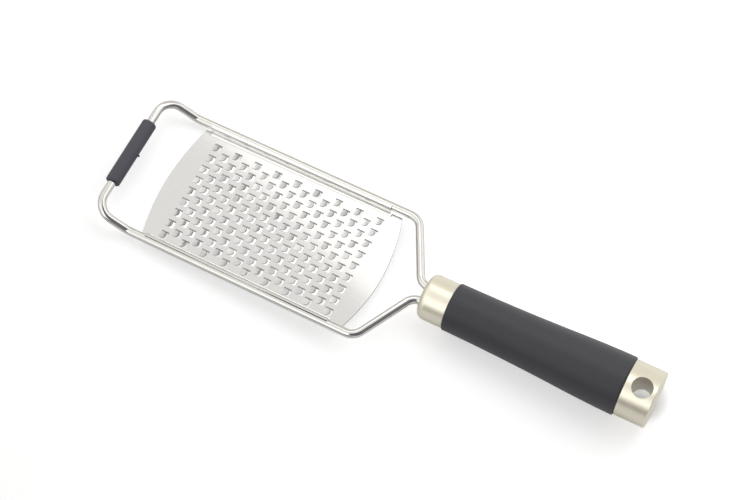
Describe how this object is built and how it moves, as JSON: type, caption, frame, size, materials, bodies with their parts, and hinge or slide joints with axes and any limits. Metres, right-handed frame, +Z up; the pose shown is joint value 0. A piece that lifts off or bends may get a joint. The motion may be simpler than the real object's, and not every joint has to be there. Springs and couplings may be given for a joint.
{
  "type": "rasp zester",
  "caption": "Hand rasp with a flat raised-tooth steel blade hooked over a bent wire frame, rubber foot on the front bar, round rubber grip with metal collar and hang hole.",
  "frame": {"origin": "middle of the whole tool's box, on the table it lies on", "axes": "+X towards the butt of the handle, +Z up with the raised teeth facing up, +Y across the blade"},
  "size_m": [0.302, 0.0772, 0.0334],
  "materials": {
    "polished_steel": "polished",
    "satin_steel": "satin",
    "dark_rubber": "matte",
    "grip_rubber": "matte",
    "champagne_metal": "satin",
    "core_plastic": "matte"
  },
  "bodies": {
    "root": {"wire_frame": "polished_steel", "rasp_blade": "satin_steel", "foot_sleeve": "dark_rubber", "front_ferrule": "champagne_metal", "handle_core": "core_plastic", "soft_grip": "grip_rubber", "end_cap": "champagne_metal"}
  },
  "joints": []
}
